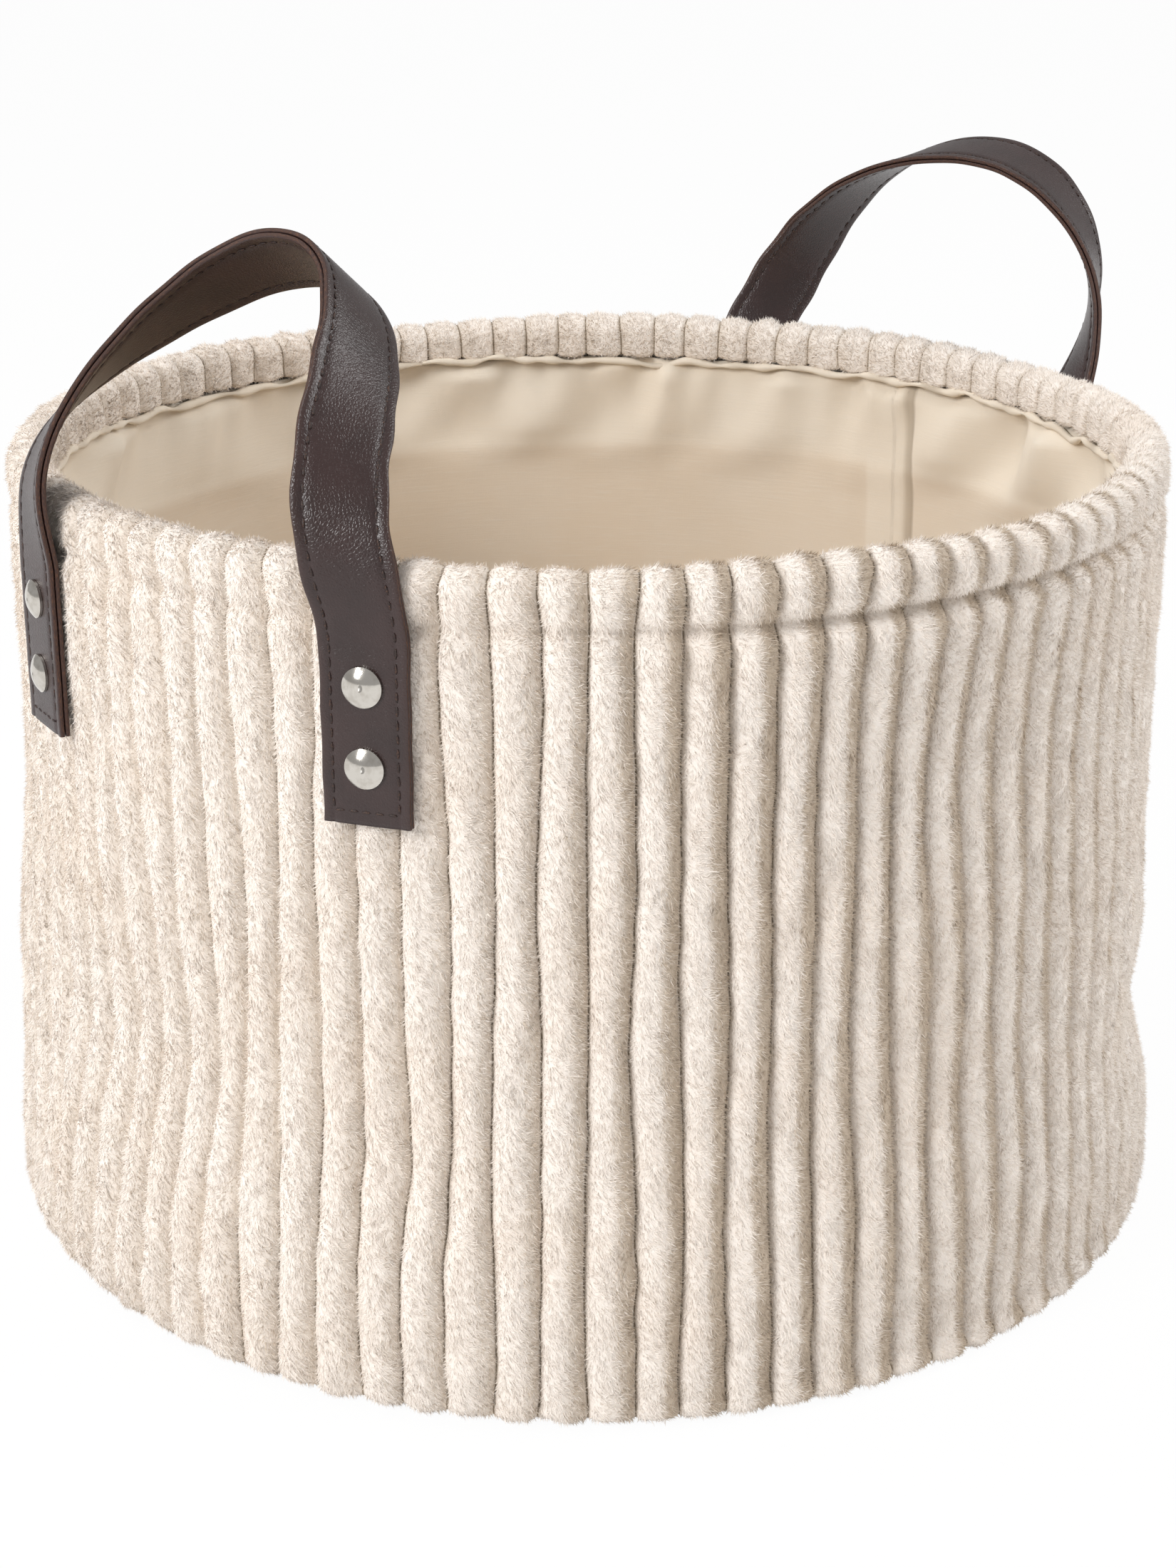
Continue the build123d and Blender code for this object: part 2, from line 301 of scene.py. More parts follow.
def makePlush():
    points = plushProfile()
    bm, bearing, rows = latheMesh(points, plushSet["ribs"] * plushSet["columns"])
    profile, normals = np.array(points), profileNormals(points)
    along = np.append(0, np.cumsum(np.linalg.norm(np.diff(profile, axis=0), axis=1)))
    share = bearing * plushSet["ribs"] / 360
    rib = np.floor(share + 1e-6)
    across = np.clip(2 * (share - rib) - 1, -1, 1)
    across = np.sign(across) * (1 - (1 - abs(across)) ** 1.45)  # columns crowd towards the grooves
    bearing = (rib + (across + 1) / 2) * 360 / plushSet["ribs"]
    turn, run, level = np.radians(bearing), along[rows], profile[rows, 1]
    sway = waves(11, 9, (5, 34), (18, 90), 0.17)(turn, run)
    sway += waves(12, 10, (40, 130), (120, 420), 0.05)(turn, run)
    lean = np.clip(waves(13, 9, (4, 30), (15, 120), 0.14)(turn, run), -0.35, 0.35)
    skewed = across + lean * (1 - across ** 2)
    lobe = (1 - abs(skewed).clip(0, 1) ** 2.1) ** 0.6
    lumps = waves(14, 16, (30, 120), (90, 420), 0.2 * mm)(turn, run)
    lumps += waves(15, 26, (90, 300), (420, 1300), 0.12 * mm)(turn, run)
    outside = rows < np.argmax(profile[:, 1])
    side = 0.4 + 0.65 * np.exp(-(turnFrom(bearing, 266) / 44) ** 2)  # the hem bites harder on this side
    hem = side * np.exp(-((level - plushSet["hemStitch"]) / (2.0 * mm)) ** 2) * outside
    pinch = plushSet["pinch"] * hem
    eased = 1 - 0.8 * np.clip(-normals[rows, 1], 0, 1)  # ribs are shallower at both ends and inside the rim
    eased -= 0.4 * smoothStep(level, 0.189, 0.199)
    eased = np.where(outside, eased, 0.35)
    depth = (1 - lobe) * plushSet["pile"] * eased + 0.35 * mm - lumps * lobe + pinch * (0.45 + 0.55 * lobe)
    sunk = np.where(outside, slump(bearing, level), 0)
    uneven = waves(16, 5, (2, 9), (0, 1), 0.4 * mm)(turn, run) * smoothStep(level, 0.185, 0.2)
    radius = profile[rows, 0] - normals[rows, 0] * depth + sunk
    putVerts(bm, radius, bearing + sway, np.maximum(level - normals[rows, 1] * depth + uneven, 0.3 * mm))
    faceAway(bm, lambda middle: Vector((middle.x, middle.y, 0)))
    piece = newPiece("plushWall", bm, [plushFinish], "bin")
    # groove depth, raised along the hem crease; it also masks the painted shade in the grooves and the crease
    setFloats(piece.data, "groove", np.maximum(1 - lobe, 0.75 * hem))
    ribShadeStrength = 0.40 + 0.60 * np.exp(-(turnFrom(bearing, 257) / 35) ** 4)  # painted shade on the right flank of each rib, strongest on this side where the key light grazes the ribs
    setFloats(piece.data, "ribShade", smoothStep(across, -0.4, 0.7) * ribShadeStrength)
    setFloats(piece.data, "tone", np.zeros(len(lobe)))
    setUv(piece.data, bearing / 360 % 1, run / along[-1])
    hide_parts("outer_wall", "plush_ribs")
    return piece


plushWall = makePlush()
print("plush wall", len(plushWall.data.polygons), "faces")


# combed pile: short tapered hairs rooted in the plush, in patches that lean their own way
pileSet = {"pieces": 5, "hairs": 190000, "length": 1.6 * mm, "width": 0.26 * mm}


def readMesh(mesh):  # places, normals, groove depth and painted rib shade per vertex, then corners and areas per face
    count = len(mesh.vertices)
    where, facing, groove, ribShade = (np.empty(count * n) for n in (3, 3, 1, 1))
    mesh.vertices.foreach_get("co", where)
    mesh.vertex_normals.foreach_get("vector", facing)
    mesh.attributes["groove"].data.foreach_get("value", groove)
    mesh.attributes["ribShade"].data.foreach_get("value", ribShade)
    corner, area = np.empty(len(mesh.loops), np.int32), np.empty(len(mesh.polygons))
    mesh.loops.foreach_get("vertex_index", corner)
    mesh.polygons.foreach_get("area", area)
    return where.reshape(-1, 3), facing.reshape(-1, 3), groove, ribShade, corner.reshape(-1, 4), area


def unit(vectors):
    return vectors / (np.linalg.norm(vectors, axis=1)[:, None] + 1e-12)


def combPile(source, name, seed):
    dice, count = np.random.default_rng(seed), pileSet["hairs"]
    where, facing, groove, ribShade, quads, area = readMesh(source.data)
    odds = area * (1.05 - groove[quads].mean(axis=1)) ** 0.7  # thinner in the grooves
    face = dice.choice(len(quads), count, p=odds / odds.sum())
    u, v = dice.random((2, count, 1))
    mix = [(1 - u) * (1 - v), u * (1 - v), u * v, (1 - u) * v]
    root = sum(where[quads[face, i]] * mix[i] for i in range(4))
    up = unit(sum(facing[quads[face, i]] * mix[i] for i in range(4)))
    deep, ribShadeStrength = (sum(one[quads[face, i]] * mix[i][:, 0] for i in range(4)) for one in (groove, ribShade))
    turn = np.arctan2(root[:, 1], root[:, 0])
    way = waves(21, 12, (20, 120), (60, 500), 0.5)(turn, root[:, 2]) + dice.normal(0, 0.6, count) - 0.9
    side = np.stack([-np.sin(turn), np.cos(turn), np.zeros(count)], 1)
    rise = unit(np.cross(up, side))
    side = np.cross(rise, up)
    flat = side * np.cos(way)[:, None] + rise * np.sin(way)[:, None]
    tilt = dice.normal(57, 12, count) - 20 * smoothStep(deep, 0.12, 0.5)  # stands up along the rib edges
    tilt = np.radians(np.clip(tilt, 15, 80))[:, None]
    lie = up * np.cos(tilt) + flat * np.sin(tilt)
    wide = unit(np.cross(up, lie))
    spin = dice.normal(0, 0.4, count)[:, None]
    wide = wide * np.cos(spin) + np.cross(lie, wide) * np.sin(spin)
    wide *= np.where((np.cross(wide, lie) * up).sum(axis=1) < 0, -1, 1)[:, None]  # every hair faces out
    long = pileSet["length"] * dice.uniform(0.5, 1.25, count) * (1 - 0.45 * deep)
    half = pileSet["width"] / 2 * dice.uniform(0.7, 1.2, count)[:, None]
    tip = root + lie * long[:, None]
    tip[:, 2] = np.maximum(tip[:, 2], 0.2 * mm)
    pile = bpy.data.meshes.new(name)
    pile.vertices.add(3 * count)
    pile.loops.add(3 * count)
    pile.polygons.add(count)
    pile.vertices.foreach_set("co", np.stack([root - wide * half, root + wide * half, tip], 1).ravel())
    pile.loops.foreach_set("vertex_index", np.arange(3 * count, dtype=np.int32))
    pile.polygons.foreach_set("loop_start", np.arange(0, 3 * count, 3, dtype=np.int32))
    pile.update(calc_edges=True)
    # each hair takes the painted groove shade of its root, less at the tip
    setFloats(pile, "groove", (deep[:, None] * np.array([1.0, 1.0, 0.75])).ravel())
    # each hair takes the painted rib shade of its root, spread a little at random
    setFloats(pile, "ribShade", np.repeat(ribShadeStrength + dice.normal(0, 0.15, count), 3))
    setFloats(pile, "tone", (dice.random(count)[:, None] * np.array([1.0, 1.0, 0.3])).ravel())
    cells = ceil(sqrt(count))
    cell = np.stack([np.arange(count) % cells, np.arange(count) // cells], 1)[:, None, :]
    flat = (cell + np.array([[0.05, 0.05], [0.95, 0.05], [0.5, 0.95]])) / cells
    pile.uv_layers.new(name="OFBake").uv.foreach_set("vector", flat.astype(np.float32).ravel())
    return hangPiece(name, pile, [plushFinish], "bin")


piles = [combPile(plushWall, f"plushHair{i + 1}", 100 + i) for i in range(pileSet["pieces"])]
print("pile combed,", sum(len(p.data.polygons) for p in piles), "hairs")


# wall stiffener, the rolled felt sheet between plush and lining
stiffenerSet = {"inset": 5.15 * mm, "top": 0.163, "thickness": 1.5 * mm, "felt": srgb(214, 205, 190),
                "fleck": srgb(170, 158, 140)}


def feltWiring(w):
    fibre = w.noise(w.objectPlace(), 900.0, 4.0, 0.7)
    return {"Base Color": fibre.step(0.35, 0.7).pick(stiffenerSet["felt"], stiffenerSet["fleck"]),
            "Roughness": 0.8 + 0.15 * fibre, "Normal": w.bump(fibre, 0.0004, 0.6)}


def makeStiffener():
    levels = np.linspace(cornerLevel + 0.001, stiffenerSet["top"], 44)
    profile = np.stack([crestRadius(levels) - stiffenerSet["inset"], levels], 1)
    bm, bearing, rows = latheMesh(profile.tolist(), 240, 358.8)  # the rolled sheet's ends don't quite meet
    level = profile[rows, 1]
    putVerts(bm, profile[rows, 0] + slump(bearing, level), bearing, level)
    faceAway(bm, lambda middle: Vector((middle.x, middle.y, 0)))
    feltFinish = makeFinish("stiffenerFelt", {}, feltWiring)
    piece = newPiece("wallStiffener", bm, [feltFinish], "bin")
    setUv(piece.data, bearing / 360, (level - levels[0]) / (levels[-1] - levels[0]))
    solid = piece.modifiers.new("thickness", "SOLIDIFY")
    solid.thickness, solid.offset = stiffenerSet["thickness"], 0.0
    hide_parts("wall_stiffener")


makeStiffener()
print("stiffener rolled")


# cotton lining: wall tube with slack puckers under the hem, one side seam, and the floor disc
liningSet = {"inset": 7.8 * mm, "top": 0.1874, "columns": 660, "seamBearing": -2.5, "allowance": 6.2,
             "light": srgb(253, 240, 221), "dark": srgb(243, 226, 204), "thread": srgb(250, 242, 229),
             # the crease colour is painted shade for the side seam crease and the gathers of the rolled edge
             "creaseShade": srgb(160, 140, 114), "edgeRadius": 0.1350, "edgeLevel": 0.1870,
             "floorRadius": 0.1420, "floorLevel": 0.0088}


def cottonWiring(w):
    around, up = w.attribute("aroundMm"), w.attribute("upMm")
    slub = w.add("CombineXYZ", {}, {0: around * 0.09, 1: up * 1.5, 2: 0.0})
    weave = w.add("CombineXYZ", {}, {0: around * 2.4, 1: up * 2.4, 2: 0.0})
    streak = w.noise(slub, 1.0, 3.0, 0.6)
    yarn = {"Vector": weave, "Scale": 1.0, "Distortion": 1.2, "Detail": 2.0}
    warp, weft = (w.add("TexWave", {"bands_direction": way}, yarn, 1) for way in "XY")
    patch = w.noise(w.objectPlace(), 26.0, 3.0)
    base = w.attribute("backed").pick(liningSet["light"], liningSet["dark"])
    base = (patch.step(0.4, 0.75) * 0.25).pick(base, liningSet["thread"])
    base = (streak.step(0.5, 0.75) * 0.25).pick(base, liningSet["thread"])
    # painted shade along the side seam crease and in the gathers of the rolled edge
    base = w.attribute("creaseShade").pick(base, liningSet["creaseShade"])
    return {"Base Color": base, "Roughness": 0.78 + 0.15 * streak,
            "Normal": w.bump(streak * 0.7 + warp * 0.25 + weft * 0.25, 0.00025, 0.7)}


cottonFinish = makeFinish("liningCotton", {"Sheen Weight": 0.12, "Specular IOR Level": 0.25}, cottonWiring)


def markCotton(piece, backed, creaseShade, aroundMm, upMm):
    for name, values in (("backed", backed), ("creaseShade", creaseShade), ("aroundMm", aroundMm), ("upMm", upMm)):
        setFloats(piece.data, name, values)


def thickenCotton(piece):
    solid = piece.modifiers.new("thickness", "SOLIDIFY")
    solid.thickness, solid.offset = 0.4 * mm, -1.0


def makeLining():
    low = binSizes["cornerRadius"] - liningSet["inset"]
    corner = [radians(-90 + 15 * i) for i in range(6)]
    points = [(cornerCentre + low * cos(a), cornerLevel + low * sin(a)) for a in corner]
    levels = list(np.linspace(cornerLevel, 0.148, 26)) + list(np.linspace(0.148, liningSet["top"], 30)[1:])
    points += [(float(crestRadius(z)) - liningSet["inset"], float(z)) for z in levels]
    bm, bearing, rows = latheMesh(points, liningSet["columns"])
    profile = np.array(points)
    along = np.append(0, np.cumsum(np.linalg.norm(np.diff(profile, axis=0), axis=1)))
    turn, level = np.radians(bearing), profile[rows, 1]
    drop = liningSet["top"] - level
    slack = smoothStep(level, 0.150, 0.168) * smoothStep(drop, 0.0, 0.006)
    swag = waves(31, 7, (14, 30), (60, 170), 1.7 * mm)(turn, drop)
    tuck = waves(32, 11, (34, 80), (30, 140), 0.9 * mm)(turn, drop)
    tuck *= np.exp(-drop / 0.011) * smoothStep(drop, 0, 0.002)
    soft = waves(33, 8, (5, 16), (20, 60), 0.4 * mm)(turn, level)
    seam = turnFrom(bearing, liningSet["seamBearing"])
    wide = liningSet["allowance"]
    strip = smoothStep(seam, 0.0, 0.5) * (1 - smoothStep(seam, wide - 0.6, wide + 0.3))
    line = np.exp(-(seam / 0.42) ** 2)
    inward = 1.4 * mm * slack + swag * slack + tuck + soft + 0.5 * mm * strip - 0.9 * mm * line
    inward += 0.4 * mm * (1 - smoothStep(level, 0.160, 0.1635))
    putVerts(bm, profile[rows, 0] + slump(bearing, level) - inward, bearing, level)
    faceAway(bm, lambda middle: Vector((-middle.x, -middle.y, 0)))
    piece = newPiece("liningWall", bm, [cottonFinish], "bin")
    edge = 0.1615 + waves(34, 4, (2, 7), (0, 1), 1.0 * mm)(turn, level)
    backed = (1 - smoothStep(level, edge - 0.003, edge + 0.002)) * (1 - 0.75 * strip)
    # the side seam line takes painted crease shade
    markCotton(piece, backed, 0.75 * line, turn * 137, along[rows] * 1000)
    setUv(piece.data, bearing / 360, along[rows] / along[-1])
    thickenCotton(piece)
    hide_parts("lining_wall")
    return piece


def makeLiningEdge():  # the lining's rolled top edge, sewn to the hem and lifted here and there
    radius, level = liningSet["edgeRadius"], liningSet["edgeLevel"]
    section = [radians(45 * i) for i in range(9)]
    section = np.array([(1.15 * mm * cos(a), 0.95 * mm * sin(a)) for a in section])
    bm, bearing, rows = latheMesh((section + [radius, level]).tolist(), 528)
    turn, still = np.radians(bearing), np.zeros(len(bearing))
    lift = waves(41, 9, (20, 70), (0, 1), 0.4 * mm)(turn, still)
    lift += waves(42, 5, (6, 14), (0, 1), 0.5 * mm)(turn, still)
    size = 1 + np.clip(waves(43, 11, (30, 110), (0, 1), 0.25)(turn, still), -0.45, 0.5)
    out, up = section[rows, 0] * size, section[rows, 1] * size
    putVerts(bm, radius + out - lift * 0.4, bearing, level + up + lift)
    bmesh.ops.remove_doubles(bm, verts=bm.verts, dist=1e-7)
    bmesh.ops.recalc_face_normals(bm, faces=bm.faces)
    kept = np.array([v.co for v in bm.verts])
    turn = np.arctan2(kept[:, 1], kept[:, 0])
    piece = newPiece("liningEdge", bm, [cottonFinish], "bin")
    # painted shade in the folds where the rolled edge is gathered
    gatherShade = np.clip(waves(44, 9, (30, 90), (0, 1), 0.2)(turn, 0 * turn), 0, 0.4)
    markCotton(piece, 0 * turn, gatherShade, turn * 137, kept[:, 2] * 1000)
    setUv(piece.data, turn / (2 * pi) % 1, (kept[:, 2] - 0.184) / 0.007)
    return piece


def makeLiningFloor():
    level = liningSet["floorLevel"]
    rings = [(r, level) for r in np.linspace(0.0, liningSet["floorRadius"], 46).tolist()]
    bm, bearing, rows = latheMesh(rings, 180)
    radius, turn = np.array(rings)[rows, 0], np.radians(bearing)
    soft = waves(51, 9, (2, 7), (20, 70), 0.35 * mm)(turn, radius) * smoothStep(radius, 0, 0.03)
    putVerts(bm, radius, bearing, level + np.clip(soft, -0.4 * mm, 1.2 * mm))
    faceAway(bm, lambda middle: Vector((0, 0, 1)))
    piece = newPiece("liningFloor", bm, [cottonFinish], "bin")
    x, y = radius * np.cos(turn), radius * np.sin(turn)
    markCotton(piece, np.full(len(x), 0.7), np.zeros(len(x)), x * 1000, y * 1000)
    setUv(piece.data, 0.5 + x / 0.285, 0.5 + y / 0.285)
    thickenCotton(piece)
    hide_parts("lining_base")


liningWall = makeLining()
liningEdge = makeLiningEdge()
makeLiningFloor()
print("lining sewn")


# base panel under the bin, a padded disc of plain cloth
baseSet = {"radius": 0.1380, "rounding": 0.0022, "top": 0.0046, "cloth": srgb(216, 198, 174),
           "pale": srgb(232, 218, 198)}


def baseWiring(w):
    place = w.objectPlace()
    patch = w.noise(place, 30.0, 3.0)
    weave = w.add("TexChecker", {}, {"Vector": place, "Scale": 1100.0}, 1)
    thread = w.noise(place, 1600.0, 2.0)
    return {"Base Color": (patch.step(0.35, 0.7) * 0.6 + weave * 0.2).pick(baseSet["cloth"], baseSet["pale"]),
            "Roughness": 0.8 + 0.15 * thread, "Normal": w.bump(weave * 0.5 + thread, 0.0003, 0.6)}


def makeBase():
    edge, rounding, top = baseSet["radius"], baseSet["rounding"], baseSet["top"]
    points = [(0.0, 0.0004), (0.03, 0.0003), (0.06, 0.0002), (0.09, 0.0001), (0.12, 0.0001), (0.132, 0.0002)]
    for a in (-80, -50, -20, 10, 40, 80):
        points.append((edge - rounding + rounding * cos(radians(a)), 0.0023 + rounding * sin(radians(a))))
    points += [(radius, top) for radius in (0.131, 0.09, 0.045, 0.0)]
    bm = latheMesh(points, 176)[0]
    bmesh.ops.recalc_face_normals(bm, faces=bm.faces)
    clothFinish = makeFinish("baseCloth", {"Sheen Weight": 0.1}, baseWiring)
    piece = newPiece("basePanel", bm, [clothFinish], "bin")
    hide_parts("base_cover")


makeBase()
print("base panel laid")


# strap handles: two sewn plies each, running up from the riveted tabs into an arch
strapSet = {"centre": 0.14655, "half": 0.010, "ply": 1.2 * mm, "gap": 0.1 * mm, "endLevel": 0.143,
            "liftLevel": 0.180, "stations": 300, "foldLow": 0.200, "foldHigh": 0.220,
            "stitchInset": 2.5 * mm, "stitchPitch": 3.1 * mm, "stitchSize": (1.2 * mm, 0.34 * mm, 0.2 * mm),
            "endInset": 3 * mm,
            "leather": srgb(52, 34, 32), "dark": srgb(43, 27, 25), "worn": srgb(66, 44, 38),
            "edge": srgb(60, 38, 31), "rawEdge": srgb(112, 72, 48), "thread": srgb(38, 23, 19),
            "glint": srgb(84, 56, 42)}
handleSet = {
    "left": {"bearing": radians(182.0455), "halfSpan": radians(20.4545), "rise": 0.0722, "bow": 0.0115,
             "lean": -0.0386, "roll": radians(132), "twist": 2.0, "fullness": 1.06, "hinge": 0.137824},
    "right": {"bearing": 0.0, "halfSpan": radians(22.5), "rise": 0.0695, "bow": 0.008, "lean": 0.038,
              "roll": radians(101), "twist": 1.0, "fullness": 0.75, "hinge": 0.153875},
}


def leatherWiring(w):
    around, along = w.attribute("aroundMm"), w.attribute("alongMm")
    hide = w.add("CombineXYZ", {}, {0: around, 1: along, 2: 0.0})
    cells = {"Vector": hide, "Scale": 1.4, "Randomness": 1.0}
    pebble = w.add("TexVoronoi", {"feature": "DISTANCE_TO_EDGE"}, cells)
    fine = w.noise(hide, 5.0, 3.0, 0.6)
    patch = w.noise(hide, 0.08, 3.0)
    skin = patch.step(0.35, 0.7).pick(strapSet["leather"], strapSet["dark"])
    skin = (pebble.step(0.25, 0.02) * 0.18).pick(skin, strapSet["dark"])
    skin = (w.attribute("rub") * 0.45).pick(skin, strapSet["worn"])
    return {"Base Color": skin, "Roughness": 0.26 + 0.1 * fine + 0.04 * patch,
            "Normal": w.bump(pebble.step(0.0, 0.28) * 0.8 + fine * 0.2, 0.00009, 0.6)}


def edgeWiring(w):
    around, along = w.attribute("aroundMm"), w.attribute("alongMm")
    side = w.add("CombineXYZ", {}, {0: around * 3.0, 1: along * 0.5, 2: 0.0})
    fray = w.noise(side, 1.6, 4.0, 0.65)
    return {"Base Color": fray.step(0.45, 0.75).pick(strapSet["edge"], strapSet["rawEdge"]),
            "Roughness": 0.55 + 0.2 * fray, "Normal": w.bump(fray, 0.0003, 0.7)}


def threadWiring(w):
    ply = w.noise(w.objectPlace(), 2600.0, 2.0)
    return {"Base Color": ply.step(0.45, 0.75).pick(strapSet["thread"], strapSet["glint"]),
            "Roughness": 0.45 + 0.2 * ply, "Normal": w.bump(ply, 0.0002, 0.5)}


leatherFinish = makeFinish("strapLeather", {"Specular IOR Level": 0.6}, leatherWiring)
edgeFinish = makeFinish("strapEdge", {}, edgeWiring)
threadFinish = makeFinish("strapThread", {}, threadWiring)


def archPoint(handle, angle):
    share = max(sin(angle), 0.0) ** handle["fullness"]
    swell = 16 * share ** 2 * (1 - share) ** 2
    span = handle["halfSpan"]
    outward = strapSet["centre"] * cos(span) + handle["bow"] * swell + handle["lean"] * share ** 1.5
    sideways = strapSet["centre"] * sin(span) * cos(angle)
    return Vector((outward, sideways, strapSet["liftLevel"] + handle["rise"] * share))


def archFrame(handle, angle):
    ahead, behind = archPoint(handle, min(angle + 0.002, pi)), archPoint(handle, max(angle - 0.002, 0.0))
    run = (ahead - behind).normalized()
    outward = (Vector((1, 0, 0)) - run * run.x).normalized()
    gain = max(sin(angle), 0.0) ** handle["twist"]
    roll = handle["halfSpan"] + (handle["roll"] - handle["halfSpan"]) * gain
    return archPoint(handle, angle), outward.cross(run) * cos(roll) + outward * sin(roll), run


def tabFrame(handle, side, level):
    turn = side * handle["halfSpan"]
    place = Vector((strapSet["centre"] * cos(turn), strapSet["centre"] * sin(turn), level))
    return place, Vector((sin(turn), -cos(turn), 0)) * side, Vector((0, 0, side))


def strapFrames(handle):  # closely set frames from one riveted end to the other, with the distance run so far
    tabLevels = np.linspace(strapSet["endLevel"], strapSet["liftLevel"], 40).tolist()
    frames = [tabFrame(handle, 1, z) for z in tabLevels[:-1]]
    frames += [archFrame(handle, pi * i / 900) for i in range(1, 900)]
    frames += [tabFrame(handle, -1, z) for z in tabLevels[-2::-1]]
    turned = Matrix.Rotation(handle["bearing"], 3, "Z")
    frames = [tuple(turned @ part for part in one) for one in frames]
    run = np.append(0, np.cumsum([(b[0] - a[0]).length for a, b in zip(frames, frames[1:])]))
    return frames, run


def frameAt(frames, run, distance):
    i = int(np.clip(np.searchsorted(run, distance) - 1, 0, len(run) - 2))
    share = min(max((distance - run[i]) / max(run[i + 1] - run[i], 1e-12), 0.0), 1.0)
    place, across, tangent = (a.lerp(b, share) for a, b in zip(frames[i], frames[i + 1]))
    across.normalize()
    return place, across, tangent.normalized(), tangent.cross(across).normalized()


def plySection(side):  # closed outline of one ply, starting in the middle of its hidden side
    half, low, high = strapSet["half"], strapSet["gap"] / 2, strapSet["gap"] / 2 + strapSet["ply"]
    inner = [(0.0, low), (half * 0.5, low), (half - 0.5 * mm, low), (half - 0.1 * mm, low + 0.15 * mm)]
    wall = [(half, low + 0.35 * mm), (half, high - 0.45 * mm), (half - 0.12 * mm, high - 0.18 * mm),
            (half - 0.4 * mm, high - 0.02 * mm)]
    top = []
    for inset in (0.9, 1.7, 2.1, 2.5, 2.9, 3.4, 4.5, 7.0, 10.0):
        a = half - inset * mm
        dip = 0.26 * mm * np.exp(-((inset * mm - strapSet["stitchInset"]) / (0.55 * mm)) ** 2)
        top.append((a, high - float(dip) + 0.08 * mm * (1 - (a / half) ** 2)))
    right = inner + wall + top
    outline = right + [(-a, n) for a, n in reversed(right[1:-1])]
    edge = [len(inner) - 1 <= i <= len(inner) + 2 for i in range(len(right))]
    return [(a, n * side) for a, n in outline], edge + edge[-2:0:-1]


def blendStrap(piece):
    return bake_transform(piece)


def makePly(name, side, frames, run):
    outline, edge = plySection(side)
    steps = [np.hypot(b[0] - a[0], b[1] - a[1]) for a, b in zip(outline, outline[1:])]
    around = np.append(0, np.cumsum(steps)) / mm + (50 if side < 0 else 0)
    count = strapSet["stations"]
    bm, columns, rows = tubeMesh(len(outline), count)
    rowOf = bm.verts.layers.int["row"]
    stations = [frameAt(frames, run, run[-1] * i / count) for i in range(count + 1)]
    fray = 0.3 * waves(7, 3, (0, 0), (95, 430), 0.5 * mm)(0.0, np.linspace(0, run[-1], len(stations)))
    for vert, column, row in zip(bm.verts, columns, rows):
        place, across, _, face = stations[row]
        a, n = outline[column % len(outline)]
        vert.co = place + across * (a * (1 + fray[row] / strapSet["half"])) + face * n
    for end in (0, count):
        bmesh.ops.contextual_create(bm, geom=[e for e in bm.edges if all(v[rowOf] == end for v in e.verts)])
    bmesh.ops.recalc_face_normals(bm, faces=bm.faces)
    columnOf = bm.verts.layers.int["column"]
    for face in bm.faces:  # cut sides and ends take the raw edge finish
        cut = all(edge[v[columnOf] % len(edge)] for v in face.verts)
        face.material_index = int(len(face.verts) > 4 or cut)
    piece = newPiece(name, bm, [leatherFinish, edgeFinish], None)
    spot = columns % len(outline)
    sides = np.array([abs(a) for a, _ in outline])[spot]
    worn = np.exp(-((strapSet["half"] - sides) / (0.9 * mm)) ** 2)
    setFloats(piece.data, "rub", np.where(np.array(edge)[spot], 1, worn))
    setFloats(piece.data, "aroundMm", around[spot])
    setFloats(piece.data, "alongMm", rows * run[-1] / count / mm)
    return piece


def makeStrap(name, frames, run):
    for ply, side in (("face", 1), ("backing", -1)):
        piece = blendStrap(makePly(f"{name}Strap{ply.title()}", side, frames, run))
        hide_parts(*(f"{name}_{part}_{ply}" for part in ("loop", "front_tab", "rear_tab")))


def makeStitches(name, frames, run):  # rows of thread along both edges and across the ends, on both faces
    bead = bmesh.new()
    bmesh.ops.create_uvsphere(bead, u_segments=7, v_segments=5, radius=1.0)
    beadMesh = bpy.data.meshes.new("bead")
    bead.to_mesh(beadMesh)
    bead.free()
    bm = bmesh.new()
    dice = random.Random(23)
    inset, pitch, length = strapSet["stitchInset"], strapSet["stitchPitch"], run[-1]
    half, top = strapSet["half"] - inset, strapSet["gap"] / 2 + strapSet["ply"]
    margin = strapSet["endInset"]

    def stitch(distance, offset, faceSide, crosswise):
        place, across, tangent, face = frameAt(frames, run, distance)
        lie, wide = (across, tangent) if crosswise else (tangent, across)
        slant = dice.uniform(-0.05, 0.12)
        lie, wide = lie * cos(slant) + wide * sin(slant), wide * cos(slant) - lie * sin(slant)
        shape = Matrix.Identity(4)
        for i, (axis, size) in enumerate(zip((lie, wide, face), strapSet["stitchSize"])):
            for j in range(3):
                shape[j][i] = axis[j] * size * dice.uniform(0.92, 1.06)
        lift = 0.06 * mm if crosswise else -0.13 * mm  # only the edge rows lie in a pressed groove
        shape.translation = place + across * offset + face * faceSide * (top + lift)
        copy = beadMesh.copy()
        copy.transform(shape)
        bm.from_mesh(copy)
        bpy.data.meshes.remove(copy)

    for faceSide in (1, -1):
        for edgeSide in (1, -1):
            for i in range(int((length - 2 * margin) / pitch)):
                stitch(margin + pitch * (i + 0.5), edgeSide * half, faceSide, False)
        for end in (margin, length - margin):
            for i in range(5):
                stitch(end, -half + 2 * half * (i + 0.5) / 5, faceSide, True)
    bpy.data.meshes.remove(beadMesh)
    bmesh.ops.recalc_face_normals(bm, faces=bm.faces)
    blendStrap(newPiece(f"{name}Stitches", bm, [threadFinish], None))


